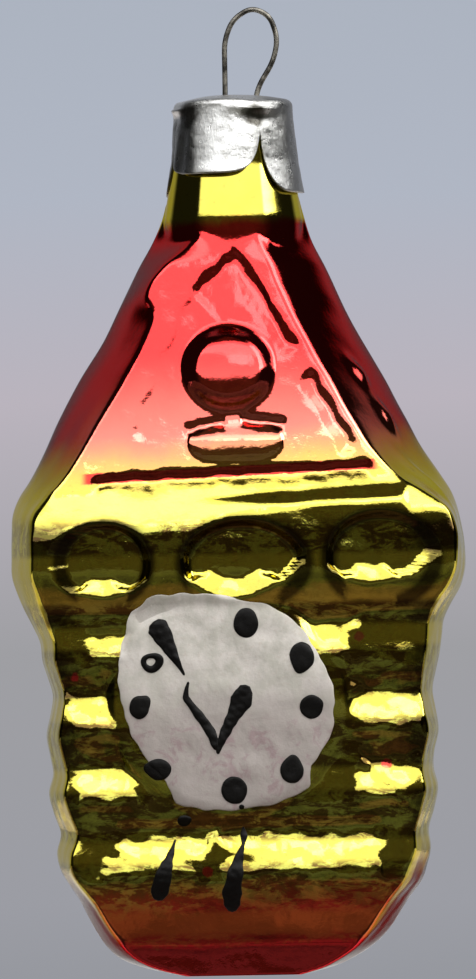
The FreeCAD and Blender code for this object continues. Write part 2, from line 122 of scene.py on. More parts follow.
def wrapped(rings):
    """A skin through closed rings of points: a grid rolled round, its seam and its ends merged."""
    rows, count = rings.shape[:2]
    bm = bmesh.new()
    bmesh.ops.create_grid(bm, x_segments=count, y_segments=rows - 1, size=1)
    spots = placed(rings)
    for vert in bm.verts:
        column = round((vert.co.x + 1) / 2 * count) % count
        row = round((vert.co.y + 1) / 2 * (rows - 1))
        vert.co = spots[row, column]
    bmesh.ops.remove_doubles(bm, verts=bm.verts, dist=1e-6)
    bmesh.ops.recalc_face_normals(bm, faces=bm.faces)
    return bm


# ---------------------------------------------------------------- the blown glass

# Height; left and right reach of the seam; how far in from it the front face ends, left and right.
SEAM = [
    (-12.0, 8.05, 8.0, 7.0, 7.0),
    (-15.0, 8.9, 8.9, 6.4, 6.6),
    (-18.0, 10.2, 9.8, 5.0, 6.4),
    (-21.0, 11.9, 11.3, 3.3, 6.8),
    (-23.0, 12.9, 12.2, 2.6, 6.9),
    (-25.0, 13.9, 13.1, 3.0, 6.9),
    (-26.8, 14.8, 13.9, 4.6, 6.9),
    (-30.0, 16.4, 15.6, 5.3, 7.0),
    (-35.0, 19.6, 18.4, 5.8, 7.1),
    (-40.0, 22.3, 21.0, 5.4, 7.0),
    (-44.0, 24.2, 23.1, 4.9, 6.6),
    (-47.5, 26.1, 25.4, 4.4, 5.6),
    (-49.5, 27.4, 26.6, 3.9, 3.6),
    (-51.5, 28.2, 27.4, 3.1, 1.8),
    (-54.0, 28.4, 27.9, 2.8, 1.1),
    (-57.0, 28.46, 28.3, 2.8, 1.4),
    (-59.5, 28.4, 28.2, 2.8, 1.7),
    (-61.5, 27.8, 27.6, 2.8, 2.0),
    (-63.5, 27.0, 26.4, 2.6, 2.2),
    (-65.5, 26.0, 25.5, 2.3, 2.2),
    (-67.5, 25.1, 25.2, 2.1, 2.1),
    (-70.0, 24.8, 24.8, 1.9, 2.0),
    (-72.0, 24.2, 24.3, 1.8, 1.9),
    (-74.3, 23.6, 23.9, 1.7, 1.8),
    (-76.5, 23.9, 24.2, 1.7, 1.7),
    (-79.3, 24.5, 24.6, 1.9, 1.6),
    (-82.0, 24.1, 24.0, 2.0, 1.6),
    (-84.0, 23.8, 23.9, 2.1, 1.7),
    (-86.4, 24.3, 24.4, 2.2, 1.9),
    (-89.0, 23.7, 23.9, 2.3, 2.0),
    (-91.5, 22.9, 23.2, 2.3, 2.0),
    (-94.0, 23.4, 23.4, 2.0, 2.2),
    (-96.0, 23.0, 22.9, 1.7, 2.5),
    (-98.0, 21.9, 22.2, 1.8, 2.7),
    (-100.0, 20.6, 20.7, 2.0, 2.8),
    (-102.0, 19.6, 19.4, 2.1, 2.8),
    (-104.0, 18.5, 18.0, 2.2, 2.7),
    (-106.0, 17.1, 16.0, 2.3, 2.5),
    (-107.4, 15.4, 13.8, 2.4, 2.4),
    (-108.5, 12.6, 11.4, 2.3, 2.2),
    (-109.2, 9.6, 8.8, 2.2, 2.0),
]
# Height and depth of the front below the gable: the belt, the cove, four logs and the base.
FRONT_DEPTH = [
    (-46.0, 18.05),
    (-50.0, 18.1),
    (-53.0, 18.2),
    (-55.0, 18.35),
    (-57.0, 18.45),
    (-59.5, 18.4),
    (-61.5, 17.8),
    (-63.5, 16.8),
    (-65.4, 15.7),
    (-67.6, 16.15),
    (-69.8, 16.85),
    (-72.0, 16.2),
    (-74.0, 15.6),
    (-76.3, 16.2),
    (-78.5, 16.85),
    (-80.7, 16.2),
    (-82.8, 15.6),
    (-85.0, 16.2),
    (-87.2, 16.8),
    (-89.3, 16.15),
    (-91.3, 15.6),
    (-94.0, 16.3),
    (-96.6, 16.9),
    (-99.2, 16.0),
    (-102.0, 14.6),
    (-104.6, 13.05),
    (-105.5, 12.45),
    (-106.1, 12.3),
    (-106.7, 11.6),
    (-107.7, 10.6),
    (-108.6, 8.6),
    (-109.2, 6.6),
]
# How far the flat stretches between the bulging logs stand out.
FLAT_DEPTH = 16.4
# The round field that carries the dial.
DIAL = (-1.55, -75.2)
DIAL_RADIUS = 13.2

# The neck's radius at its rim; then the height where each stretch starts and how fast it widens.
NECK_RADIUS = 6.9
NECK_STRETCHES = [(0.0, 0.07), (-8.0, 0.165), (-15.2, -0.02)]
RIM_TOP, RIM_ROUND, BORE_RADIUS = -0.6, 0.6, 6.2
# Height and radius of the inside, from under the base up to the neck.
INSIDE = [
    (-106.0, 0.0), (-106.0, 9.0), (-104.0, 13.0), (-100.0, 14.5), (-70.0, 14.6), (-50.0, 13.5), (-40.0, 10.3),
    (-30.0, 8.4), (-24.0, 7.7), (-18.0, 7.3), (-12.0, 7.1), (-6.0, 6.6), (-1.2, BORE_RADIUS),
    (-0.65, BORE_RADIUS),
]

# The round window: its middle, half width and half height. The perch: its middle and half width.
WINDOW = (-0.95, -33.9, 6.1, 5.6)
PERCH = (-0.2, -42.75, 6.0)
# Each line drawn in the gable: its ends, the side of its steep flank, its depth, where it is faint,
# the width of its other flank, and how much it wanders.
Groove = namedtuple("Groove", "start end side share faint_from faint_to inner sway")
GROOVES = [
    Groove((0.1, -20.0), (14.5, -44.2), 1, 1.05, 0.5, 0.6, 1.5, 0.7),
    Groove((0.5, -19.8), (-4.9, -24.6), -1, 1.0, 2, 3, 3.0, 1.0),
    Groove((-4.6, -24.4), (-12.8, -42.0), -1, 0.4, 2, 3, 3.0, 1.0),
    Groove((-6.4, -41.8), (-1.5, -40.7), 1, 0.8, 2, 3, 0.5, 0.6),
    Groove((0.5, -40.3), (5.9, -41.2), 1, 1.1, 2, 3, 0.5, 0.6),
    Groove((-17.8, -47.9), (16.4, -46.6), 1, 1.15, 2, 3, 1.0, 0.4),
]

# Each niche: its middle, half width, half height and depth; then the sill inside it that faces up: its
# middle, its half width, the height where it starts and its height there.
Niche = namedtuple("Niche", "across level half tall deep spot wide low thick")
NICHES = [
    Niche(-16.7, -57.9, 5.9, 5.3, 1.5, -17.0, 3.0, -62.1, 2.3),
    Niche(0.6, -58.2, 8.0, 5.6, 1.8, -0.7, 5.6, -62.5, 3.6),
    Niche(17.6, -57.8, 7.1, 6.0, 1.05, 16.2, 3.2, -60.8, 2.4),
]

# Small beads on the right side of the roof: how far forward, the height, half width and half height.
BEADS = [(7.2, -34.6, 0.8, 1.5), (7.2, -40.0, 0.8, 1.9), (10.2, -48.2, 1.0, 2.4)]


def neck_reach(z):
    """Radius of the round neck: it flares under the cap and stands upright above the gable."""
    cone = NECK_RADIUS
    ends = [start for start, _ in NECK_STRETCHES[1:]] + [-math.inf]
    for (start, widening), end in zip(NECK_STRETCHES, ends):
        cone = cone + widening * np.clip(start - z, 0, start - end)
    lip = np.clip(z - RIM_TOP + RIM_ROUND, 0, RIM_ROUND)
    return cone - (RIM_ROUND - np.sqrt(np.clip(RIM_ROUND ** 2 - lip ** 2, 0, None)))


def gable_depth(x, z, side):
    """Depth of the gable and of the ledge under it, with the steep wedge in the ledge."""
    foot_depth, gable_slope, ledge_slope, wedge_slope = 16.0, 0.24, 0.5, 0.9
    foot = -48.5 + 0.045 * x * (side == FRONT)
    below = foot - z
    lip = 1.5 - 0.02 * (x + 9) * (side == FRONT)
    wedge = 2.6 * eased(-9, 17, x) * (1 - eased(19.5, 21.5, x)) * (side == FRONT)
    ledge = ledge_slope * np.clip(below, 0, lip) \
        + wedge_slope * np.clip(below - lip, 0, wedge) \
        + ledge_slope * np.clip(below - lip - wedge, 0, None)
    worn_apex = 0.055 * x ** 2 * eased(-21.0, -15.5, z)
    return foot_depth + gable_slope * np.minimum(below, 0) + ledge - worn_apex


def window_dome(x, z):
    """The round window: a calm crown inside a steep ring."""
    across, level, half, tall = WINDOW
    ring_inside, ring_outside, ring_height, crown_height = 0.60, 1.04, 1.9, 0.55
    around = np.hypot((x - across) / half, (z - level) / tall)
    crown = crown_height * (1 - np.clip(around / 0.66, 0, 1) ** 2)
    return crown + ring_height * (1 - eased(ring_inside, ring_outside, around))


def perch_bar(x, z):
    """The perch: a shelf that slopes on top and is round below."""
    across, level, half = PERCH
    stands_out, above, below = 0.66, 1.95, 2.7
    up = z - level - 0.012 * (x - across)
    span = np.sqrt(np.clip(1 - np.clip(np.abs(x - across) / half, 0, 1) ** 4, 1e-4, 1))
    top = 1 - np.clip(up / (above * span), 0, None)
    under = np.sqrt(np.clip(1 - np.clip(-up / (below * span), 0, 1) ** 2, 0, 1))
    return stands_out * np.clip(np.where(up > 0, top, under), 0, None) * np.sqrt(span)


def gable_grooves(x, z):
    """The triangle drawn in the gable: one flank of each line is steep, the other is long."""
    deepest, steep = 0.5, 0.72
    wander = 0.26 * swell(x, z, 11, 4.2) + 0.10 * swell(x, z, 12, 1.7)
    depth = 0
    for groove in GROOVES:
        away, along = off_line(x, z, groove.start, groove.end)
        away = groove.side * away + wander * groove.sway
        ends = eased(-0.02, 0.02, along) * (1 - eased(0.98, 1.02, along))
        faint = eased(groove.faint_from - 0.03, groove.faint_from, along) \
            * (1 - eased(groove.faint_to, groove.faint_to + 0.03, along))
        line = np.where(away < 0, bump(away, 0, steep), bump(away, 0, groove.inner))
        depth = softer_max(depth, groove.share * ends * line * (1 - 0.85 * faint), 0.06)
    return -deepest * depth


def niche_hollows(x, z, house):
    """The three hollows in the belt: steep all round, with a sill that catches the light."""
    wall, sill_slope, sill_edge = 1.1, 0.3, 4.0
    depth = 0
    for niche in NICHES:
        across, up = (x - niche.across) / niche.half, (z - niche.level) / niche.tall
        around = np.hypot(across + 0.05 * up, up)
        bowl = niche.deep * eased(0, 1, (1 - around) * niche.tall / wall)
        aside = x - niche.spot
        start = niche.low + 0.07 * aside ** 2 + 0.05 * swell(x, z, 67, 2.2)
        top = start + niche.thick * np.clip(1 - (aside / niche.wide) ** 2, 0, 1)
        sill = house - curve(start, FRONT_DEPTH, 1) + sill_slope * (z - start) \
            + sill_edge * np.clip(z - top, 0, None)
        depth = np.maximum(depth, np.clip(sill, 0, bowl))
    return -depth


# Where each log of the front swells out strongly: from and to across, the height, and the lean of its ends.
SWELLS = [
    (-18.4, -13.0, -70.4, 0.0),
    (6.0, 13.7, -67.2, 0.35),
    (-22.0, -13.2, -76.0, -0.2),
    (13.6, 22.6, -76.0, 0.1),
    (-20.7, -13.0, -84.6, 0.0),
    (14.2, 21.2, -84.6, 0.2),
    (-16.6, -4.7, -94.0, 0.5),
    (-2.7, 16.9, -94.0, -0.1),
]


def log_swell(x, z):
    """1 where a log bulges and 0 where it is nearly flat, with uneven ends."""
    share = 0
    for start, end, level, lean in SWELLS:
        across = x + 0.5 * swell(x, z, 61, 3.0) + 0.25 * swell(x, z, 62, 1.2) - lean * (z - level)
        ends = eased(start - 0.5, start + 0.9, across) * (1 - eased(end - 0.9, end + 0.5, across))
        share = np.maximum(share, ends * (1 - eased(3.4, 4.6, np.abs(z - level))))
    return share


def front_depth(x, z, side):
    """Depth of one face of the glass at a place across and up, with all its relief."""
    ragged = 0.22 * swell(x, z, 63, 3.1) + 0.07 * swell(x, z, 64, 1.3)
    house = curve(z + ragged * eased(64, 66, -z) * (1 - eased(97, 99, -z)), FRONT_DEPTH, 1)
    logs = eased(63.5, 65, -z) * (1 - eased(96.5, 98.0, -z))
    if side == FRONT:
        house = house + logs * (0.22 + 0.78 * log_swell(x, z) - 1) * (house - FLAT_DEPTH)
        crumple = swell(x, z, 77, 2.3) * bump(z, -94, 3.2) * eased(-0.4, 0.8, swell(x, z, 78, 7))
        house = house + 0.035 * crumple
    from_dial = np.hypot(x - DIAL[0], z - DIAL[1]) + 1.6 * bump(x, 8.5, 4.0) * bump(z, -67.0, 3.2)
    near = 1 - eased(DIAL_RADIUS - 0.9, DIAL_RADIUS + 1.4, from_dial)
    house = house + near * logs * (FLAT_DEPTH - house)
    field = 16.9 - 0.4 * eased(DIAL_RADIUS - 0.6, DIAL_RADIUS + 2.0, from_dial) \
        - 4.0 * eased(DIAL_RADIUS + 0.8, DIAL_RADIUS + 5.0, from_dial)
    house = softer_max(house, field, 0.12)
    house = house + niche_hollows(x, z, house)
    relief = softer_max(window_dome(x, z), perch_bar(x, z), 0.05) + gable_grooves(x, z)
    top = gable_depth(x, z, side) + relief
    depth = softer_min(top, np.where(z > -46, house + 40, house), 0.16)
    dents = 0.05 * swell(x, z, 21 + side, 9) + 0.024 * swell(x, z, 33 + side, 3.2) \
        + 0.006 * swell(x, z, 45 + side, 1.1, 9)
    calmer_gable = 0.5 + 0.5 * eased(44, 48, -z)
    return depth + dents * calmer_gable * eased(15, 20, -z)


def seam_reach(y, z, depth, column):
    """How far the side wall stands out: it bows from the front face's end to the seam."""
    reach = curve(z, SEAM, column)
    inset = curve(z, SEAM, column + 2)
    share = np.clip(np.abs(y) / depth, 0, 1.3)
    bow = 1.45 - 0.25 * eased(47, 52, -z)
    wall = reach - inset * share ** bow + 0.03 * swell(y, z, 50 + column, 6)
    if column == RIGHT:
        wall = wall + 0.8 * sum(bump(y, ahead, wide) * bump(z, level, tall)
                                for ahead, level, wide, tall in BEADS)
    return wall


def glass_reach(turn, z):
    """Distance from the neck's axis to the skin, looking out at an angle from the front."""
    sine, cosine = np.sin(turn), np.cos(turn)
    straight = np.maximum(np.abs(cosine), 1e-3)
    across = np.maximum(np.abs(sine), 1e-3)
    level = np.full_like(turn, z)
    ahead = cosine > 0
    first_guess = 12.0
    reach = np.full_like(turn, first_guess)
    depth = np.zeros_like(turn)
    rounding = 0.42 + 0.1 * (1 - eased(44, 48, -z)) * (sine > 0)
    for _ in range(11):
        x = np.clip(reach * sine, -30, 30)
        depth[ahead] = front_depth(x[ahead], level[ahead], FRONT)
        depth[~ahead] = front_depth(x[~ahead], level[~ahead], BACK)
        left, right = (seam_reach(reach * cosine, level, depth, column) for column in (LEFT, RIGHT))
        wall = np.where(sine < 0, left, right) / across
        reach = 0.3 * reach + 0.7 * np.minimum(softer_min(depth / straight, wall, rounding), 60)
    return softer_max(reach, neck_reach(level), 0.12) if z > -26 else reach


def glass_columns():
    """Angles round the glass: close together on the face, wider on the sides and the back."""
    half_face, face_depth = 24.2, 16.6
    face = np.arctan(np.linspace(-half_face, half_face, 165) / face_depth)
    edge = face[-1]
    side = np.linspace(edge, math.pi - edge, 38)[1:-1]
    back = math.pi + np.arctan(np.linspace(-half_face, half_face, 112) / face_depth)
    return np.concatenate([face, side, back, side + math.pi])


def glass_body():
    """One closed skin: up the inside of the neck, over the rim, down the outside and under."""
    turns = glass_columns()
    count = len(turns)
    levels = np.concatenate([
        -np.array([0.6, 0.65, 0.75, 0.9, 1.2]),
        -np.arange(1.8, 13.0, 0.7),
        -np.arange(13.0, 47.0, 0.47),
        -np.arange(47.0, 66.0, 0.40),
        -np.arange(66.0, 106.0, 0.46),
        -np.arange(106.0, 109.2, 0.32),
        [-109.2],
    ])
    rings = []
    for z, radius in INSIDE:
        rings.append(np.stack([radius * np.sin(turns), -radius * np.cos(turns), np.full(count, z)], 1))
    for z in levels:
        level = np.full(count, z)
        reach = neck_reach(level) if z > -11 else glass_reach(turns, z)
        rings.append(np.stack([reach * np.sin(turns), -reach * np.cos(turns), level], 1))
    last = rings[-1]
    for share, drop in ((0.8, 0.03), (0.55, 0.05), (0.3, 0.05), (0.0, 0.05)):
        ring = last * share
        ring[:, 2] = last[0, 2] - drop
        rings.append(ring)
    return piece_from(wrapped(np.array(rings)), "blown_glass", "glass", "lacquered_glass", "glass_body")


def piece_from(bm, name, body, slot, *nodes):
    """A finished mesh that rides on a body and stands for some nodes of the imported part."""
    mesh = bpy.data.meshes.new(name)
    bm.to_mesh(mesh)
    bm.free()
    mesh.shade_smooth()
    piece = bpy.data.objects.new(name, mesh)
    bpy.context.scene.collection.objects.link(piece)
    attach(piece, body)
    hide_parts(*nodes)
    return piece


# ---------------------------------------------------------------- enamel

# The rim of the white disc, going round it: across and up.
DIAL_RIM = [
    (-13.36, -64.02), (-11.46, -62.3), (-8.7, -61.95), (-3.57, -61.98), (-0.21, -62.5), (3.52, -63.56),
    (6.86, -65.62), (9.43, -69.17), (11.0, -72.95), (11.5, -75.7), (10.74, -79.82), (8.5, -83.3),
    (8.3, -85.9), (5.61, -87.35), (-0.16, -88.5), (-5.04, -88.42), (-8.4, -87.7), (-9.4, -84.97),
    (-11.68, -82.55), (-13.86, -78.14), (-15.0, -74.36), (-15.2, -71.48), (-14.45, -67.5),
]
# Each dab: its middle, half width, half height, and how it is drawn out (direction in degrees, share).
DABS = {
    "hour_mark_1": (0.74, -65.51, 1.52, 1.85, 200, 0.12),
    "hour_mark_2": (7.54, -69.76, 1.55, 1.75, 255, 0.28),
    "hour_mark_3": (8.56, -76.03, 1.4, 1.5, 20, 0.15),
    "hour_mark_4": (6.05, -83.86, 1.45, 1.6, 80, 0.3),
    "hour_mark_5": (-1.12, -86.11, 1.65, 1.65, 300, 0.1),
    "hour_mark_6": (-10.33, -83.45, 1.45, 1.4, 170, 0.35),
    "hour_mark_7": (-12.69, -75.78, 1.2, 1.45, 40, 0.45),
    "enamel_speck_1": (-7.40, -89.86, 0.8, 0.72, 20, 0.3),
    "enamel_speck_2": (-0.23, -88.25, 0.34, 0.32, 0, 0.0),
}
# Each brush stroke: across, up, half width, from its start to its end.
STROKES = {
    "minute_hand_tip": [
        (-10.76, -65.19, 0.62), (-10.27, -65.82, 1.22), (-9.66, -66.83, 1.25), (-8.93, -68.22, 0.94),
        (-8.21, -69.61, 0.62), (-7.6, -70.74, 0.36), (-7.0, -71.88, 0.12)],
    "minute_hand_root": [
        (-6.51, -72.64, 0.15), (-6.78, -73.51, 0.25), (-6.92, -74.63, 0.38), (-5.82, -76.15, 0.55),
        (-4.6, -77.8, 0.6), (-3.75, -79.19, 0.62), (-3.35, -80.5, 0.5), (-3.27, -81.2, 0.2)],
    "hour_hand": [
        (0.48, -73.14, 0.5), (0.34, -74.01, 1.1), (-0.05, -75.13, 1.28), (-0.7, -76.37, 0.98),
        (-1.6, -77.98, 0.74), (-2.38, -79.59, 0.58), (-2.95, -80.95, 0.4), (-3.07, -81.7, 0.15)],
    "left_weight": [
        (-8.48, -92.11, 0.1), (-8.87, -93.35, 0.3), (-9.4, -94.72, 0.6), (-9.92, -96.21, 0.92),
        (-10.32, -97.7, 1.15), (-10.62, -98.82, 1.1), (-10.76, -99.69, 0.4)],
    "right_weight": [
        (-0.1, -90.67, 0.1), (0.0, -91.8, 0.48), (-0.1, -92.92, 0.2), (-0.5, -93.91, 0.45),
        (-0.9, -95.4, 0.8), (-1.3, -97.15, 1.05), (-1.62, -98.89, 1.18), (-1.62, -100.39, 1.0),
        (-1.62, -101.27, 0.36)],
}
WHITE_THICK, BLACK_THICK = 0.24, 0.22


def white_edge(x, z):
    """How far out a place is on the white disc: 0 in its middle and 1 on its rim."""
    rim = np.array(DIAL_RIM) - DIAL
    turn = np.arctan2(rim[:, 1], rim[:, 0])
    order = np.argsort(turn)
    u, w = x - DIAL[0], z - DIAL[1]
    reach = np.interp(np.arctan2(w, u), turn[order], np.hypot(*rim.T)[order], period=2 * math.pi)
    return np.hypot(u, w) / (reach + 0.16 * swell(x, z, 91, 2.6))


def white_height(x, z):
    """Thickness of the white enamel, which thins out at its rim and is uneven."""
    soft = 0.85 + 0.10 * swell(x, z, 92, 4.5) + 0.04 * swell(x, z, 93, 1.6)
    return WHITE_THICK * soft * np.sqrt(np.clip(1 - np.clip(white_edge(x, z), 0, 1) ** 9, 0, 1))


def lying(x, z, height):
    """Points on the front of the glass, raised by a height."""
    return np.stack([x, -(front_depth(x, z, FRONT) + height), z], -1)


def dab_rings(rings, thick, seed):
    """Rings of a domed drop on the white disc or the glass: over its top, round its edge, under it."""
    rows = []
    outwards = np.concatenate([np.linspace(0, 0.9, 12), [0.95, 0.98]])
    inwards = [1.0, 0.98, 0.9, 0.5, 0.0]
    for k, share in enumerate(np.concatenate([outwards, inwards])):
        x, z = rings(share)
        top = thick * np.sqrt(1 - min(share, 1) ** 5)
        top = top * (1 + 0.12 * swell(x, z, seed, 2.0)) if k < len(outwards) else -0.06
        rows.append(lying(x, z, white_height(x, z) + top))
    return np.array(rows)


def on_disc(share, rim, turns):
    """Places on the white disc: a share of the way out to its rim, all round."""
    reach = 13 * share * rim
    return DIAL[0] + reach * np.cos(turns), DIAL[1] + reach * np.sin(turns)


def dial_enamel():
    """The white disc."""
    columns = 240
    turns = np.linspace(0, 2 * math.pi, columns, endpoint=False)
    rim = np.ones(columns)
    for _ in range(30):
        rim = rim / white_edge(*on_disc(1, rim, turns))
    rows = []
    for share in np.concatenate([np.linspace(0, 0.93, 60), [0.96, 0.98, 0.99, 0.997, 1.0]]):
        x, z = on_disc(share, rim, turns)
        rows.append(lying(x, z, white_height(x, z)))
    for share in (0.99, 0.8, 0.4, 0.0):
        rows.append(lying(*on_disc(share, rim, turns), np.full(columns, -0.1)))
    return piece_from(wrapped(np.array(rows)), "white_disc", "glass", "white_enamel", "dial_enamel")


def dab(name, seed, across, up, half, tall, aim, drawn):
    """A dab of black enamel with an uneven edge, drawn out on one side."""
    turns = np.linspace(0, 2 * math.pi, 72, endpoint=False)
    rng = np.random.default_rng(seed)
    edge = 1 + sum(rng.uniform(0.01, 0.06) / k * np.sin(k * turns + rng.uniform(0, 6.28))
                   for k in (2, 3, 4, 6, 9))
    edge = edge + drawn * bump(np.angle(np.exp(1j * (turns - math.radians(aim)))), 0, 0.5)
    return piece_from(wrapped(dab_rings(
        lambda share: (across + half * share * edge * np.cos(turns), up + tall * share * edge * np.sin(turns)),
        BLACK_THICK, seed)), name + "_enamel", "glass", "black_enamel", name)


def ring_dab():
    """The eighth mark: a ring with a bare middle."""
    across, up = -11.05, -70.18
    turns = np.linspace(0, 2 * math.pi, 72, endpoint=False)
    round_it = np.linspace(0, 2 * math.pi, 24, endpoint=False)
    uneven = 1 + 0.06 * np.sin(2 * turns + 1) + 0.05 * np.sin(3 * turns)
    rows = []
    for spot in np.append(round_it, 0.0):
        out = uneven * (0.93 + (0.42 + 0.10 * np.cos(turns + 0.6)) * math.cos(spot))
        x = across + out * np.cos(turns)
        z = up + 0.95 * out * np.sin(turns)
        rise = BLACK_THICK * math.sin(spot) if spot < math.pi else 0.06 * math.sin(spot)
        rows.append(lying(x, z, white_height(x, z) + rise))
    return piece_from(wrapped(np.array(rows)), "hour_mark_8_enamel", "glass", "black_enamel", "hour_mark_8")


def stroke(name, seed, path):
    """A brush stroke: thick where the brush was pressed, with a wavering edge."""
    stops = np.array(path)
    along = np.concatenate([[0], np.cumsum(np.hypot(*np.diff(stops[:, :2], axis=0).T))])
    steps = np.linspace(0, along[-1], 64)
    x, z, half = (np.interp(steps, along, stops[:, k]) for k in range(3))
    for _ in range(3):
        x[1:-1], z[1:-1] = (np.convolve(v, (0.25, 0.5, 0.25), "valid") for v in (x, z))
    half = half * (1 + 0.07 * swell(steps, steps * 0, seed, 1.6))
    half[0] = half[-1] = 0
    dx, dz = np.gradient(x), np.gradient(z)
    size = np.hypot(dx, dz)
    nx, nz = -dz / size, dx / size
    rows = []
    for spot in np.append(np.linspace(0, 2 * math.pi, 28, endpoint=False), 0.0):
        px, pz = x + nx * half * math.cos(spot), z + nz * half * math.cos(spot)
        uneven = 1 + 0.2 * swell(px, pz, seed + 1, 1.2)
        rise = BLACK_THICK * math.sin(spot) * uneven if spot < math.pi else 0.08 * math.sin(spot)
        rows.append(lying(px, pz, white_height(px, pz) + rise * np.clip(half / 0.5, 0.25, 1)))
    rows = np.array(rows).transpose(1, 0, 2)[:, :-1]
    return piece_from(wrapped(rows), name + "_enamel", "glass", "black_enamel", name)


# ---------------------------------------------------------------- the cap

CAP_AXIS = (0.2, 0.0)
CROWN_RADIUS, SHOULDER, BELL_RADIUS, SHEET = 6.6, 0.85, 7.45, 0.26
# Each petal: the slit it starts and the slit it ends at (angles from the front), how far down it goes,
# and how far it stands off.
Petal = namedtuple("Petal", "first last end off")
PETALS = [Petal(-74, 26, -9.6, 1.0), Petal(26, 116, -12.0, 0.30), Petal(116, 204, -11.4, 0.15),
          Petal(204, 286, -12.3, 0.06)]
SLIT_TOP = -3.4


def petal_outline():
    """Round the cap: the angle, where the sheet ends, and how far it stands off there."""
    spread = np.linspace(-1, 1, 57)[:-1]
    turns, foot, stand = [], [], []
    for petal in PETALS:
        t = spread * (1.5 - 0.5 * spread ** 2)
        turns.append(np.radians((petal.first + petal.last) / 2 + t * (petal.last - petal.first) / 2))
        left, right = (3.2, 2.3) if petal is PETALS[0] else (2.6, 2.6)
        power = np.where(t < 0, left, right)
        lobe = np.clip(1 - np.abs(t) ** (1.9 * power), 0, 1) ** 0.55
        foot.append(SLIT_TOP + (petal.end - SLIT_TOP) * lobe)
        stand.append(petal.off * (1 - np.abs(t) ** 3))
    return (np.concatenate(part) for part in (turns, foot, stand))


def cap():
    """A pressed bell with a domed crown, dimples at the roots of its slits and four round petals."""
    turns, foot, stand = petal_outline()
    from_slit = np.min([np.abs(np.angle(np.exp(1j * (turns - math.radians(petal.first))))) for petal in PETALS],
                       axis=0)
    front = np.cos(turns)
    dimple = 0.28 * bump(from_slit, 0, 0.32)
    edge_level = -0.25
    rows = []
    for share in np.linspace(0, 1, 14)[:-1]:
        lift = 0.65 * (1 - share ** 2.2) + edge_level + 0.12 * share * front - share ** 3 * dimple
        rows.append((CROWN_RADIUS * share * np.ones_like(turns), lift))
    for turn in np.linspace(0, math.pi / 2, 9):
        reach = CROWN_RADIUS + SHOULDER * math.sin(turn) - 0.12 * bump(from_slit, 0, 0.2) * math.sin(turn)
        rows.append((reach, edge_level - SHOULDER * (1 - math.cos(turn)) + 0.12 * front - dimple))
    start = rows[-1][1]
    for share in np.linspace(0, 1, 40)[1:]:
        z = start + (foot - start) * share
        reach = neck_reach(np.minimum(z, -1.3)) + 0.36 + stand * np.clip((-z - 1.0) / 8.2, 0, 1)
        reach = softer_max(reach, BELL_RADIUS + 0.06 * (-z - 1.1) * (stand > 0.5), 0.05)
        fold = 0.46 * bump(z, -1.5, 0.6) - 0.20 * bump(z, -2.8, 0.8)
        reach = reach + fold * bump(from_slit, 0, 0.24)
        around = turns * 7.5
        reach = reach + 0.035 * swell(around, z, 15, 4) + 0.012 * swell(around, z, 16, 1.5)
        reach = reach - 0.30 * bump(around, math.radians(-52) * 7.5, 0.9) * eased(3.0, 6.0, -z)
        rows.append((reach, z))
    rings = np.array([np.stack([CAP_AXIS[0] + r * np.sin(turns), CAP_AXIS[1] - r * np.cos(turns),
                                z * np.ones_like(turns)], -1) for r, z in rows])
    bm = wrapped(rings)
    bmesh.ops.solidify(bm, geom=bm.faces, thickness=SHEET / 1000)
    bmesh.ops.recalc_face_normals(bm, faces=bm.faces)
    return piece_from(bm, "pressed_cap", "cap", "cap_aluminium", "cap")


# ---------------------------------------------------------------- finishes

class Strand:
    """A value in a finish. Sums and products of it become Math nodes."""

    def __init__(self, finish, socket):
        self.finish = finish
        self.socket = socket

    def math(self, operation, first, second):
        return self.finish.node("ShaderNodeMath", {"operation": operation}, {0: first, 1: second})

    def __add__(self, other):
        return self.math("ADD", self, other)

    def __radd__(self, other):
        return self.math("ADD", other, self)

    def __sub__(self, other):
        return self.math("SUBTRACT", self, other)

    def __rsub__(self, other):
        return self.math("SUBTRACT", other, self)

    def __mul__(self, other):
        return self.math("MULTIPLY", self, other)

    def __rmul__(self, other):
        return self.math("MULTIPLY", other, self)

    def __truediv__(self, other):
        return self.math("DIVIDE", self, other)

    def __rtruediv__(self, other):
        return self.math("DIVIDE", other, self)


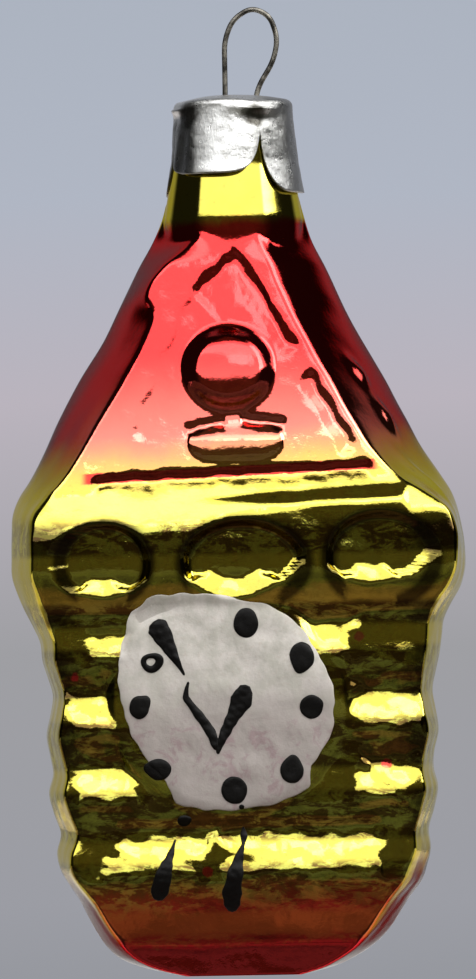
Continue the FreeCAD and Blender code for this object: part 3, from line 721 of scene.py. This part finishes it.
class Finish:
    """A node tree of a material or of the world."""

    def __init__(self, owner, last):
        owner.use_nodes = True
        self.tree = owner.node_tree
        self.tree.nodes.clear()
        self.last = self.tree.nodes.new(last)

    def node(self, kind, settings=None, sockets=None, out=0):
        item = self.tree.nodes.new(kind)
        for key, value in (settings or {}).items():
            if key == "stops":
                ramp = item.color_ramp
                while len(ramp.elements) < len(value):
                    ramp.elements.new(0.5)
                for element, (place, colour) in zip(ramp.elements, value):
                    element.position = place
                    element.color = (*colour, 1)
            else:
                setattr(item, key, value)
        for key, value in (sockets or {}).items():
            if isinstance(value, Strand):
                self.tree.links.new(value.socket, item.inputs[key])
            else:
                item.inputs[key].default_value = value
        return Strand(self, item.outputs[out])

    def ends(self, strand, name="Surface"):
        self.tree.links.new(strand.socket, self.last.inputs[name])

    def place(self):
        """Object coordinates in drawing millimetres: across, depth and up."""
        spot = self.node("ShaderNodeTexCoord", out="Object")
        spot = self.node("ShaderNodeVectorMath", {"operation": "SCALE"}, {0: spot, "Scale": 1000.0})
        spot = self.node("ShaderNodeVectorMath", {"operation": "ADD"}, {0: spot, 1: tuple(HOOK)})
        parts = [self.node("ShaderNodeSeparateXYZ", sockets={0: spot}, out=k) for k in range(3)]
        return spot, *parts

    def size_of(self, value):
        """A value without its sign."""
        return self.node("ShaderNodeMath", {"operation": "ABSOLUTE"}, {0: value})

    def larger(self, first, second):
        """The larger of two values."""
        return self.node("ShaderNodeMath", {"operation": "MAXIMUM"}, {0: first, 1: second})

    def stretched(self, spot, factors):
        """A place with each of its three parts multiplied."""
        return self.node("ShaderNodeVectorMath", {"operation": "MULTIPLY"}, {0: spot, 1: factors})

    def rise(self, value, low, high, low_to=0.0, high_to=1.0):
        """A smooth step from one value to another."""
        return self.node("ShaderNodeMapRange", {"interpolation_type": "SMOOTHSTEP"},
                         {0: value, 1: low, 2: high, 3: low_to, 4: high_to})

    def noise(self, spot, scale, detail=2.0, rough=0.5, distortion=0.0):
        return self.node("ShaderNodeTexNoise", sockets={"Vector": spot, "Scale": scale, "Detail": detail,
                                                        "Roughness": rough, "Distortion": distortion})

    def mixed(self, share, first, second):
        """One colour over another."""
        return self.node("ShaderNodeMix", {"data_type": "RGBA"}, {0: share, 6: first, 7: second}, out=2)

    def bumped(self, height, strength, distance):
        """The normal of a surface with a fine relief."""
        return self.node("ShaderNodeBump", sockets={
            "Strength": strength, "Distance": distance, "Height": height})


def material(name):
    """A new material, its finish, and a coloured principled surface to fill in."""
    made = bpy.data.materials.new(name)
    return made, Finish(made, "ShaderNodeOutputMaterial")


def red_cover(finish, spot, x, y, z, cloud, grain):
    """Where red lacquer covers the gold: the gable, its bottom line, the base, and a few stray drops."""
    level = z + (cloud - 0.5) * 3.0 - x * 0.04
    gable = finish.rise(level, -14.9, -16.3) * finish.rise(level, -50.0, -41.0)
    beside = finish.rise(y, -13.5, -11.0)
    ragged = level + (grain - 0.5) * 3.5 - beside * 3.5
    thicker = 0.72 + beside * 0.28 + finish.rise(ragged, -105.0, -108.0, 0.0, 0.4)
    base = finish.rise(ragged, -96.6, -102.0) * thicker
    drops = finish.node("ShaderNodeTexVoronoi", {"distance": "EUCLIDEAN"}, {"Vector": spot, "Scale": 0.11})
    drops = finish.rise(drops + (grain - 0.5) * 0.06, 0.085, 0.06) * finish.rise(z, -52.0, -54.0) * 0.8
    line = finish.rise(finish.size_of(z + 46.75 - x * 0.037) + (grain - 0.5) * 0.4, 0.85, 0.55)
    line = line * finish.rise(x, 18.0, 16.5) * finish.rise(x, -20.0, -18.5)
    return finish.larger(gable + base, finish.larger(line * 0.95, drops)), level, line


def gold_colour(finish, spot, x, y, z, cloud, grain):
    """Gold lacquer, thin in places, with painted shade and painted reflection in the valleys, at the ends of
    the logs and round the niches.
    """
    gold = finish.mixed(cloud, (0.80, 0.63, 0.07, 1), (0.70, 0.66, 0.13, 1))
    gold = finish.mixed(finish.rise(grain, 0.58, 0.72) * 0.3, gold, (0.50, 0.33, 0.06, 1))
    # Painted shade and painted reflection: the valleys between the logs are mottled dark brown and olive, while
    # the upper flanks and the niches' sills stay clean.
    valley_shade_noise = finish.noise(finish.stretched(spot, (0.6, 1.0, 1.5)), 0.42, 6.0, 0.72, 0.5)
    log_pitch, bright_level = 8.85, 67.2
    valley = finish.node("ShaderNodeMath", {"operation": "COSINE"}, {
        0: (z + bright_level) * (2 * math.pi / log_pitch)})
    sills = finish.rise(z, -57.5, -58.5) * finish.rise(z, -63.5, -62.5)
    valley = finish.rise(valley, 0.85, 0.25) * (finish.rise(z, -51.5, -54.0) - sills * 0.85)
    gold = finish.mixed(finish.rise(valley_shade_noise, 0.42, 0.54) * valley * 0.9, gold, (0.12, 0.055, 0.018, 1))
    gold = finish.mixed(finish.rise(valley_shade_noise, 0.52, 0.44) * valley * 0.5, gold, (0.40, 0.46, 0.10, 1))
    # Painted shade: the valleys near the left and right ends of the logs are darkened almost to black.
    ends = finish.rise(finish.size_of(x + (grain - 0.5) * 5.0), 18.8, 22.5) * finish.rise(y, -14.6, -15.4)
    gold = finish.mixed(ends * valley * 0.8, gold, (0.05, 0.03, 0.012, 1))
    # Painted shade: a dark ring round the rim of each niche, except over its lit sill.
    for niche in NICHES:
        u, w = (x - niche.across) * (1 / niche.half), (z - niche.level) * (1 / niche.tall)
        around = finish.node("ShaderNodeMath", {"operation": "SQRT"}, {0: u * u + w * w})
        aside = finish.size_of(x + (grain - 0.5) * 1.5 - niche.spot)
        off_sill = finish.larger(finish.rise(aside, niche.wide * 0.85, niche.wide * 1.1),
                                 finish.rise(w, -0.2, 0.2))
        niche_rim_shade = finish.rise(around, 0.70, 0.86) * finish.rise(around, 1.14, 1.0) * off_sill
        gold = finish.mixed(niche_rim_shade * finish.rise(y, -16.0, -17.0) * 0.85, gold, (0.03, 0.015, 0.008, 1))
    return gold


def lacquered_glass():
    """Silvered glass under gold lacquer, which red lacquer covers on the gable and under the base."""
    made, finish = material("gold_and_red_lacquer")
    spot, x, y, z = finish.place()
    cloud = finish.noise(spot, 0.16, 3.0, 0.6)
    grain = finish.noise(spot, 1.3, 3.0, 0.6)
    red, level, line = red_cover(finish, spot, x, y, z, cloud, grain)
    gold = gold_colour(finish, spot, x, y, z, cloud, grain)
    pink = finish.mixed(finish.rise(level, -31.0, -44.0), (0.90, 0.045, 0.045, 1), (0.92, 0.21, 0.16, 1))
    pink = finish.mixed(line, pink, (0.62, 0.015, 0.03, 1))
    pink = finish.mixed(finish.rise(z, -70.0, -71.0), pink, (0.80, 0.05, 0.06, 1))
    worn = finish.rise(finish.noise(spot, 2.6, 4.0, 0.7), 0.70, 0.76)
    rough = 0.055 + worn * 0.25 + finish.rise(cloud, 0.5, 0.8) * 0.03
    wobble = finish.noise(spot, 0.9, 4.0, 0.65, 0.3) + finish.noise(spot, 4.5, 2.0) * 0.05
    smoother_neck = finish.rise(z, -13.5, -17.0, 0.15, 1.0)
    ripple = finish.bumped(wobble * smoother_neck, 0.28, 0.00010)
    golden = finish.node("ShaderNodeBsdfPrincipled", sockets={
        "Base Color": gold, "Metallic": 1.0, "Roughness": rough, "Specular Tint": (0.90, 0.78, 0.32, 1),
        "Coat Weight": 0.12, "Coat Roughness": 0.03, "Normal": ripple})
    scarlet = finish.node("ShaderNodeBsdfPrincipled", sockets={
        "Base Color": pink, "Metallic": 1.0, "Roughness": rough, "Specular Tint": (0.16, 0.02, 0.02, 1),
        "Coat Weight": finish.rise(z, -90.0, -60.0, 0.03, 0.30), "Coat Roughness": 0.03, "Normal": ripple})
    finish.ends(finish.node("ShaderNodeMixShader", sockets={0: red, 1: golden, 2: scarlet}))
    return made


def brushed_white():
    """Matte white enamel, mottled, darker low down with painted shade, with mauve stains low down where gold
    shines through.
    """
    made, finish = material("brushed_white_enamel")
    spot, _, _, z = finish.place()
    cloud = finish.noise(spot, 0.35, 4.0, 0.6)
    grain = finish.noise(spot, 2.4, 4.0, 0.65)
    colour = finish.mixed(finish.rise(cloud, 0.35, 0.62), (0.76, 0.71, 0.67, 1), (0.58, 0.555, 0.50, 1))
    colour = finish.mixed(finish.rise(grain, 0.50, 0.72) * 0.5, colour, (0.60, 0.52, 0.46, 1))
    # Painted shade: the lower part of the disc is darkened to grey.
    low = finish.rise(z + (cloud - 0.5) * 9.0, -70.0, -79.0) * 0.85
    colour = finish.mixed(low, colour, (0.38, 0.33, 0.315, 1))
    stain = finish.rise(finish.noise(spot, 0.40, 4.0, 0.7, 0.6), 0.50, 0.64) * finish.rise(z, -75.0, -80.0)
    colour = finish.mixed(stain * 0.6, colour, (0.34, 0.22, 0.24, 1))
    coat = finish.bumped(grain * 0.5 + cloud * 2.0, 0.30, 0.00022)
    finish.ends(finish.node("ShaderNodeBsdfPrincipled", sockets={
        "Base Color": colour, "Roughness": 0.42 + grain * 0.2, "Normal": coat}))
    return made


def brushed_black():
    """Glossy black enamel with the marks of a fine brush."""
    made, finish = material("brushed_black_enamel")
    spot = finish.place()[0]
    hairs = finish.noise(spot, 3.2, 4.0, 0.6, 0.8)
    finish.ends(finish.node("ShaderNodeBsdfPrincipled", sockets={
        "Base Color": finish.mixed(hairs, (0.002, 0.002, 0.0025, 1), (0.008, 0.007, 0.0065, 1)),
        "Roughness": 0.28 + hairs * 0.25, "Specular IOR Level": 0.16,
        "Normal": finish.bumped(hairs, 0.3, 0.00015)}))
    return made


# The dimples at the roots of the cap's slits, darkened with painted shade.
SHADED_DIMPLES = [(-5.4, -4.9, -2.3), (2.9, -6.9, -2.4), (7.0, 3.0, -2.3), (-3.4, 6.8, -2.3)]


def pressed_aluminium():
    """Thin bright aluminium, handled and scratched, with painted shade in its dimples and at its sides."""
    made, finish = material("pressed_aluminium")
    spot, x, y, z = finish.place()
    cloud = finish.noise(spot, 0.5, 4.0, 0.65)
    scratch = finish.noise(finish.stretched(spot, (5.0, 5.0, 0.7)), 1.0, 5.0, 0.7, 0.3)
    dirt = finish.rise(finish.noise(spot, 1.5, 5.0, 0.72), 0.56, 0.70)
    colour = finish.mixed(cloud, (0.86, 0.86, 0.85, 1), (0.70, 0.70, 0.69, 1))
    colour = finish.mixed(dirt * 0.6, colour, (0.30, 0.28, 0.24, 1))
    # Painted shade: each dimple is darkened nearly to black.
    for dimple in SHADED_DIMPLES:
        off = finish.node("ShaderNodeVectorMath", {"operation": "DISTANCE"}, {0: spot, 1: dimple}, out=1)
        near = finish.rise(off + (cloud - 0.5) * 1.6, 2.2, 1.0)
        colour = finish.mixed(near * 0.93, colour, (0.045, 0.04, 0.03, 1))
    # Painted shade and painted reflection: the right of the cap's front is greyed, and its lower left is
    # darkened.
    to_the_front = finish.rise(y, 3.0, 0.0)
    right = finish.rise(x + (cloud - 0.5) * 2.0, 3.6, 4.8) * to_the_front
    colour = finish.mixed(right * 0.62, colour, (0.20, 0.20, 0.20, 1))
    left = finish.rise(x + (cloud - 0.5) * 1.5, -4.3, -5.2) * finish.rise(z, -2.0, -3.6) * to_the_front
    colour = finish.mixed(left * 0.75, colour, (0.07, 0.07, 0.065, 1))
    finish.ends(finish.node("ShaderNodeBsdfPrincipled", sockets={
        "Base Color": colour, "Metallic": 1.0, "Roughness": 0.20 + cloud * 0.18 + dirt * 0.2,
        "Normal": finish.bumped(scratch * 0.7 + cloud, 0.45, 0.00022)}))
    return made


def dull_steel():
    """Dark drawn wire, with pale rubbed spots and a trace of rust."""
    made, finish = material("dull_steel_wire")
    spot = finish.place()[0]
    cloud = finish.noise(spot, 0.35, 4.0, 0.65)
    grain = finish.noise(spot, 3.5, 4.0, 0.7)
    colour = finish.mixed(finish.rise(cloud, 0.38, 0.60), (0.055, 0.052, 0.048, 1), (0.34, 0.32, 0.28, 1))
    colour = finish.mixed(finish.rise(grain, 0.58, 0.72) * 0.7, colour, (0.12, 0.075, 0.045, 1))
    finish.ends(finish.node("ShaderNodeBsdfPrincipled", sockets={
        "Base Color": colour, "Metallic": 1.0, "Roughness": 0.34 + grain * 0.25,
        "Normal": finish.bumped(grain, 0.3, 0.00008)}))
    return made


# ---------------------------------------------------------------- studio

def degrees(finish, operation, values):
    """An angle in degrees from an inverse function."""
    return finish.node("ShaderNodeMath", {"operation": operation}, values) * (180 / math.pi)


def studio_world():
    """A pale room for the camera. The glass sees a soft window in front, a dim room and a pale back."""
    world = bpy.data.worlds.new("studio")
    bpy.context.scene.world = world
    finish = Finish(world, "ShaderNodeOutputWorld")
    way = finish.node("ShaderNodeTexCoord", out="Generated")
    dx, dy, dz = (finish.node("ShaderNodeSeparateXYZ", sockets={0: way}, out=k) for k in range(3))
    lift = degrees(finish, "ARCSINE", {0: dz})
    swing = degrees(finish, "ARCTAN2", {0: dx, 1: dy * -1.0})
    far = finish.size_of(swing)
    window = finish.rise(lift, 15.5, 18.5) * finish.rise(lift, 68.0, 64.0) \
        * finish.rise(swing, -64.0, -60.0) * finish.rise(swing, 95.0, 90.0)
    behind = finish.rise(far, 122.0, 138.0) * finish.rise(lift, -50.0, -30.0) * finish.rise(lift, 80.0, 60.0)
    under = finish.rise(lift, -52.0, -64.0)
    haze = finish.rise(finish.noise(way, 40.0, 4.0, 0.65), 0.42, 0.58)
    murk = finish.rise(finish.noise(way, 90.0, 4.0, 0.7), 0.45, 0.56)
    front = finish.mixed(haze, (0.125, 0.155, 0.08, 1), (0.098, 0.044, 0.024, 1))
    front = finish.mixed(murk, front, (0.012, 0.010, 0.007, 1))
    dim = finish.mixed(finish.rise(far, 36.0, 70.0), front, (0.010, 0.010, 0.008, 1))
    room = finish.mixed(behind, dim, (0.34, 0.35, 0.38, 1))
    room = finish.mixed(under, room, (0.30, 0.29, 0.30, 1))
    bright_row = finish.rise(lift, 40.0, 45.0) * finish.rise(lift, 60.0, 54.0)
    bright_pane = finish.rise(swing, 52.0, 58.0) * finish.rise(swing, 84.0, 78.0) \
        * finish.rise(lift, 62.0, 56.0)
    panes = finish.mixed(bright_row, (1.7, 1.7, 1.7, 1), (3.4, 3.4, 3.3, 1))
    panes = finish.mixed(bright_pane, panes, (7.0, 7.0, 6.8, 1))
    room = finish.mixed(window, room, panes)
    pale = finish.node("ShaderNodeValToRGB", {"stops": [
        (0.0, (0.305, 0.314, 0.345)), (0.08, (0.33, 0.335, 0.37)), (0.336, (0.345, 0.345, 0.365)),
        (0.592, (0.49, 0.455, 0.51)), (0.8, (0.435, 0.47, 0.55)), (1.0, (0.415, 0.455, 0.53))]},
        {0: lift * 0.2 + 0.4})
    seen = finish.node("ShaderNodeLightPath", out="Is Camera Ray")
    light = finish.mixed(seen, room, pale)
    finish.ends(finish.node("ShaderNodeBackground", sockets={0: light, 1: 1.0}))


def softbox(name, spot, aim, size, energy):
    """A soft square lamp."""
    lamp = bpy.data.lights.new(name, "AREA")
    lamp.shape = "RECTANGLE"
    lamp.size, lamp.size_y = size
    lamp.energy = energy
    box = bpy.data.objects.new(name, lamp)
    box.location = spot
    box.rotation_euler = (Vector(aim) - Vector(spot)).to_track_quat("-Z", "Y").to_euler()
    bpy.context.scene.collection.objects.link(box)
    return box


FLOOR_RADIUS, FLOOR_LEVEL = 0.70, -0.160


def studio_floor():
    """A round pale floor under the hanging ornament. The glass sees it dim and mottled."""
    bm = bmesh.new()
    bmesh.ops.create_circle(bm, cap_ends=True, segments=96, radius=FLOOR_RADIUS)
    bmesh.ops.translate(bm, verts=bm.verts, vec=(0, 0, FLOOR_LEVEL))
    mesh = bpy.data.meshes.new("studio_floor")
    bm.to_mesh(mesh)
    bm.free()
    floor = bpy.data.objects.new("studio_floor", mesh)
    bpy.context.scene.collection.objects.link(floor)
    made, finish = material("floor_paper")
    seen = finish.node("ShaderNodeLightPath", out="Is Camera Ray")
    spot, _, y, _ = finish.place()
    below = finish.node("ShaderNodeVectorMath", {"operation": "LENGTH"}, {0: spot}, out=1)
    patch = finish.noise(spot, 0.045, 4.0, 0.65)
    dark = finish.mixed(finish.rise(patch, 0.46, 0.56), (0.007, 0.006, 0.004, 1), (0.070, 0.082, 0.036, 1))
    brown = finish.mixed(finish.rise(patch, 0.40, 0.60), (0.075, 0.045, 0.034, 1), (0.17, 0.105, 0.08, 1))
    tone = finish.mixed(finish.rise(below, 205.0, 180.0), dark, brown)
    tone = finish.mixed(finish.rise(y, -31.0, -26.0), tone, (0.012, 0.006, 0.006, 1))
    tone = finish.mixed(finish.rise(y, -17.0, -9.0), tone, (0.74, 0.68, 0.66, 1))
    tone = finish.mixed(seen, tone, (0.42, 0.44, 0.48, 1))
    finish.ends(finish.node("ShaderNodeBsdfPrincipled", sockets={"Base Color": tone, "Roughness": 0.9}))
    floor.data.materials.append(made)


def camera():
    """The photograph's view: level with the belt, from a little below, leaning one degree."""
    tilt, lean, distance = math.radians(-0.5), math.radians(-1.0), 1.4
    pixels_high, pixel = 979, 0.000125
    lens = bpy.data.cameras.new("camera")
    eye = bpy.data.objects.new("camera", lens)
    bpy.context.scene.collection.objects.link(eye)
    bpy.context.scene.camera = eye
    aim = Vector(placed((0.0, 0.0, -48.9)))
    eye.location = aim + distance * Vector((0, -math.cos(tilt), math.sin(tilt)))
    look = (aim - eye.location).to_track_quat("-Z", "Y").to_matrix()
    eye.rotation_euler = (look @ Matrix.Rotation(lean, 3, "Z")).to_euler()
    lens.sensor_fit = "VERTICAL"
    lens.sensor_height = 24.0
    lens.lens = lens.sensor_height * distance / (pixels_high * pixel)
    lens.clip_start, lens.clip_end = 0.01, 20
    lens.dof.use_dof = False
    return eye


# ---------------------------------------------------------------- putting it together

glass_body().data.materials.append(lacquered_glass())
dial_enamel().data.materials.append(brushed_white())
black = brushed_black()
for number, (name, numbers) in enumerate(DABS.items()):
    dab(name, 200 + number, *numbers).data.materials.append(black)
for number, (name, path) in enumerate(STROKES.items()):
    stroke(name, 300 + 2 * number, path).data.materials.append(black)
ring_dab().data.materials.append(black)
cap().data.materials.append(pressed_aluminium())
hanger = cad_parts["hanger"]
hanger.data.materials.clear()
hanger.data.materials.append(dull_steel())

studio_world()
studio_floor()
softbox("front_softbox", (0.15, -0.85, 0.62), (0, 0, -0.06), (0.42, 0.20), 0.7)
camera()

scene = bpy.context.scene
scene.view_settings.view_transform = "Standard"
